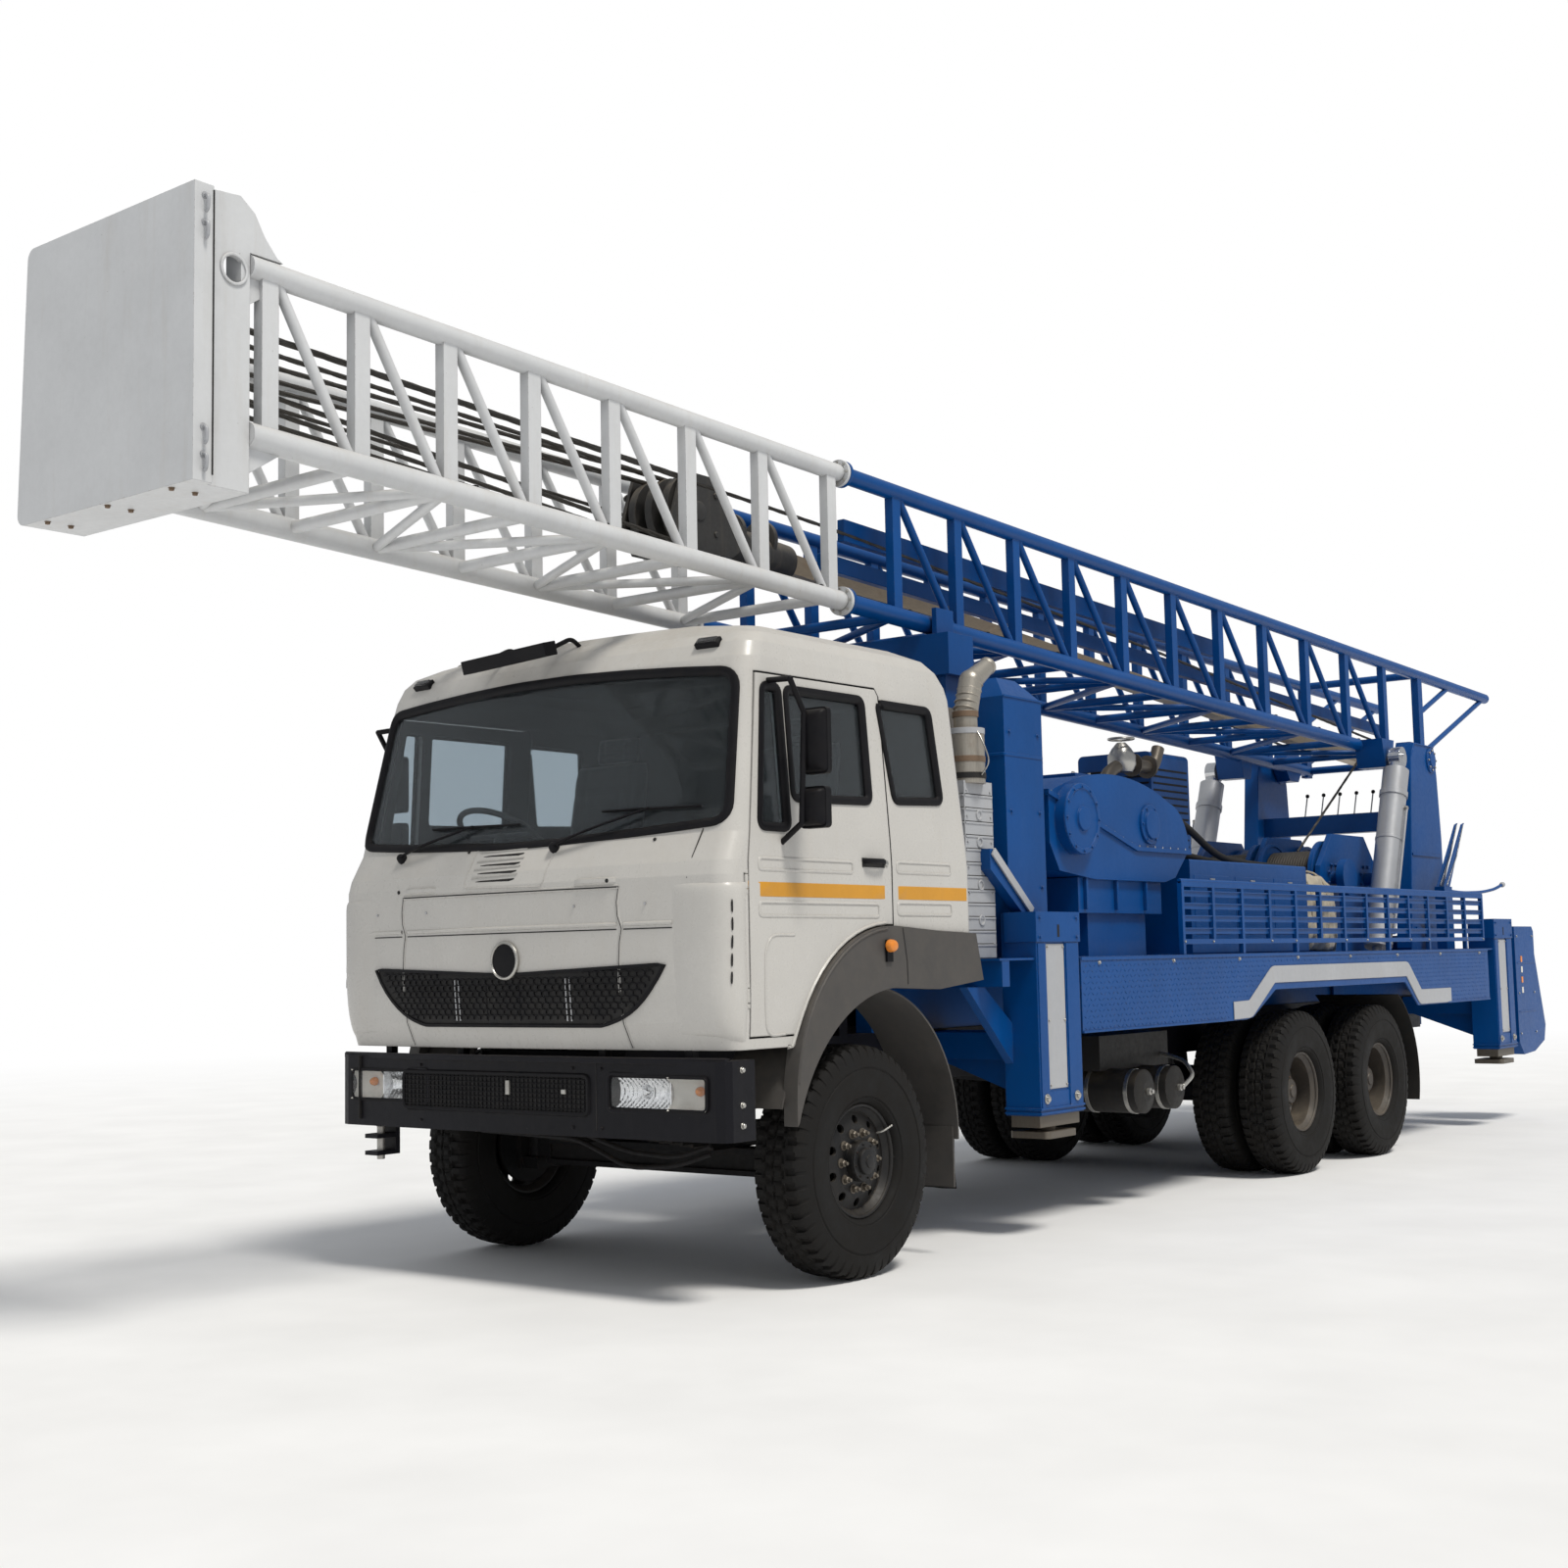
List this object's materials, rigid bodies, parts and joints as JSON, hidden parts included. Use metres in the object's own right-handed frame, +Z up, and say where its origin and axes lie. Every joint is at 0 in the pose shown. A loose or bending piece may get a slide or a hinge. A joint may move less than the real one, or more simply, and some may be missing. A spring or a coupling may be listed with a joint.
{
  "type": "rotary drilling rig",
  "caption": "Truck-mounted rotary drilling rig with a lattice mast laid over the cab, hoist cylinders, mud pump, winches, jacks and a rotary table.",
  "frame": {"origin": "on the ground under the middle of the whole rig", "axes": "the vehicle faces -Y, its left side is +X, +Z is up"},
  "size_m": [2.84, 14.186, 4.299],
  "materials": {
    "cab_white": "gloss",
    "mast_white": "satin",
    "rig_blue": "satin",
    "chassis_black": "satin",
    "trim_black": "matte",
    "flare_grey": "matte",
    "tyre": "matte",
    "rim_black": "satin",
    "rim_grey": "satin",
    "axle_iron": "matte",
    "spring_steel": "satin",
    "glass": "gloss",
    "lamp_glass": "gloss",
    "engine_iron": "matte",
    "tank_paint": "satin",
    "exhaust_steel": "satin",
    "silver_paint": "satin",
    "rod_chrome": "polished",
    "jack_steel": "satin",
    "block_steel": "oily",
    "kelly_steel": "satin",
    "seat_fabric": "woven",
    "dash_plastic": "matte",
    "canvas": "woven"
  },
  "bodies": {
    "chassis": {"chassis_frame": "chassis_black", "deck": "rig_blue", "side_skirts": "rig_blue", "side_railings": "rig_blue", "cab_shell": "cab_white", "cab_glass": "glass", "front_bumper": "chassis_black", "lamps": "lamp_glass", "mudguards": "flare_grey", "dashboard": "dash_plastic", "seats": "seat_fabric", "front_axle": "axle_iron", "rear_axles": "axle_iron", "leaf_springs": "spring_steel", "engine": "engine_iron", "tanks": "tank_paint", "exhaust_stack": "exhaust_steel", "mast_rest": "rig_blue", "jack_housings": "rig_blue", "mud_pump": "rig_blue", "drawworks": "rig_blue", "power_pack": "rig_blue", "rear_frame": "rig_blue", "hoist_feet": "rig_blue", "tool_box": "rig_blue", "tarpaulin": "canvas", "rear_lamp_boxes": "rig_blue"},
    "mast": {"mast_upper": "mast_white", "mast_lower": "rig_blue", "crown_head": "mast_white", "travelling_block": "block_steel", "kelly": "kelly_steel"},
    "hoist_barrels": {"hoist_barrels": "silver_paint"},
    "hoist_rods": {"hoist_rods": "rod_chrome"},
    "rotary_table": {"rotary_table": "jack_steel"},
    "tie_rod": {"tie_rod": "axle_iron"},
    "door_left": {"door_left": "cab_white", "door_glass_left": "glass", "mirrors_left": "trim_black"},
    "steer_left": {"knuckle_left": "axle_iron"},
    "wheel_front_left": {"front_tyre_left": "tyre", "front_rim_left": "rim_black"},
    "wheel_rear_1_left": {"rear_tyres_1_left": "tyre", "rear_rims_1_left": "rim_grey"},
    "wheel_rear_2_left": {"rear_tyres_2_left": "tyre", "rear_rims_2_left": "rim_grey"},
    "jack_front_left": {"front_jack_left": "jack_steel"},
    "jack_rear_left": {"rear_jack_left": "jack_steel"},
    "door_right": {"door_right": "cab_white", "door_glass_right": "glass", "mirrors_right": "trim_black"},
    "steer_right": {"knuckle_right": "axle_iron"},
    "wheel_front_right": {"front_tyre_right": "tyre", "front_rim_right": "rim_black"},
    "wheel_rear_1_right": {"rear_tyres_1_right": "tyre", "rear_rims_1_right": "rim_grey"},
    "wheel_rear_2_right": {"rear_tyres_2_right": "tyre", "rear_rims_2_right": "rim_grey"},
    "jack_front_right": {"front_jack_right": "jack_steel"},
    "jack_rear_right": {"rear_jack_right": "jack_steel"}
  },
  "joints": [
    {"name": "mast_raise", "type": "hinge", "parent": "chassis", "child": "mast", "pos_m": [0, 4.95, 3], "axis": [-1, 0, 0], "range_deg": [0, 88.2]},
    {"name": "hoist_barrel_tilt", "type": "hinge", "parent": "chassis", "child": "hoist_barrels", "pos_m": [0, 3.34, 1.33], "axis": [-1, 0, 0], "range_deg": [0, 8.34]},
    {"name": "hoist_rod_slide", "type": "slide", "parent": "hoist_barrels", "child": "hoist_rods", "axis": [0, 0.3773, 0.9261], "range_m": [0, 1.293]},
    {"name": "door_left_hinge", "type": "hinge", "parent": "chassis", "child": "door_left", "pos_m": [1.21, -4.821, 1.5], "axis": [0, 0, -1], "range_deg": [0, 65]},
    {"name": "steer_left_turn", "type": "hinge", "parent": "chassis", "child": "steer_left", "pos_m": [0.89, -3.945, 0.525], "axis": [0, 0, 1], "range_deg": [-33, 33]},
    {"name": "wheel_front_left_spin", "type": "hinge", "parent": "steer_left", "child": "wheel_front_left", "pos_m": [1.05, -3.945, 0.525], "axis": [1, 0, 0], "continuous": true},
    {"name": "wheel_rear_1_left_spin", "type": "hinge", "parent": "chassis", "child": "wheel_rear_1_left", "pos_m": [0.922, 0.938, 0.525], "axis": [1, 0, 0], "continuous": true},
    {"name": "wheel_rear_2_left_spin", "type": "hinge", "parent": "chassis", "child": "wheel_rear_2_left", "pos_m": [0.922, 2.277, 0.525], "axis": [1, 0, 0], "continuous": true},
    {"name": "jack_front_left_slide", "type": "slide", "parent": "chassis", "child": "jack_front_left", "axis": [0, 0, -1], "range_m": [0, 0.6]},
    {"name": "jack_rear_left_slide", "type": "slide", "parent": "chassis", "child": "jack_rear_left", "axis": [0, 0, -1], "range_m": [0, 0.6]},
    {"name": "door_right_hinge", "type": "hinge", "parent": "chassis", "child": "door_right", "pos_m": [-1.21, -4.821, 1.5], "axis": [0, 0, 1], "range_deg": [0, 65]},
    {"name": "steer_right_turn", "type": "hinge", "parent": "chassis", "child": "steer_right", "pos_m": [-0.89, -3.945, 0.525], "axis": [0, 0, 1], "range_deg": [-33, 33]},
    {"name": "wheel_front_right_spin", "type": "hinge", "parent": "steer_right", "child": "wheel_front_right", "pos_m": [-1.05, -3.945, 0.525], "axis": [1, 0, 0], "continuous": true},
    {"name": "wheel_rear_1_right_spin", "type": "hinge", "parent": "chassis", "child": "wheel_rear_1_right", "pos_m": [-0.922, 0.938, 0.525], "axis": [1, 0, 0], "continuous": true},
    {"name": "wheel_rear_2_right_spin", "type": "hinge", "parent": "chassis", "child": "wheel_rear_2_right", "pos_m": [-0.922, 2.277, 0.525], "axis": [1, 0, 0], "continuous": true},
    {"name": "jack_front_right_slide", "type": "slide", "parent": "chassis", "child": "jack_front_right", "axis": [0, 0, -1], "range_m": [0, 0.6]},
    {"name": "jack_rear_right_slide", "type": "slide", "parent": "chassis", "child": "jack_rear_right", "axis": [0, 0, -1], "range_m": [0, 0.6]},
    {"name": "tie_rod_slide", "type": "slide", "parent": "chassis", "child": "tie_rod", "axis": [1, 0, 0], "range_m": [-0.11, 0.11]},
    {"name": "rotary_table_spin", "type": "hinge", "parent": "chassis", "child": "rotary_table", "pos_m": [0, 5.4, 1.3], "axis": [0, 0, 1], "continuous": true}
  ],
  "couplings": [
    {"joint": "hoist_barrel_tilt", "follows": "mast_raise", "ratio": 0.09229},
    {"joint": "hoist_rod_slide", "follows": "mast_raise", "m_per_rad": 0.8335},
    {"joint": "steer_right_turn", "follows": "steer_left_turn", "ratio": 1},
    {"joint": "tie_rod_slide", "follows": "steer_left_turn", "m_per_rad": -0.185}
  ]
}
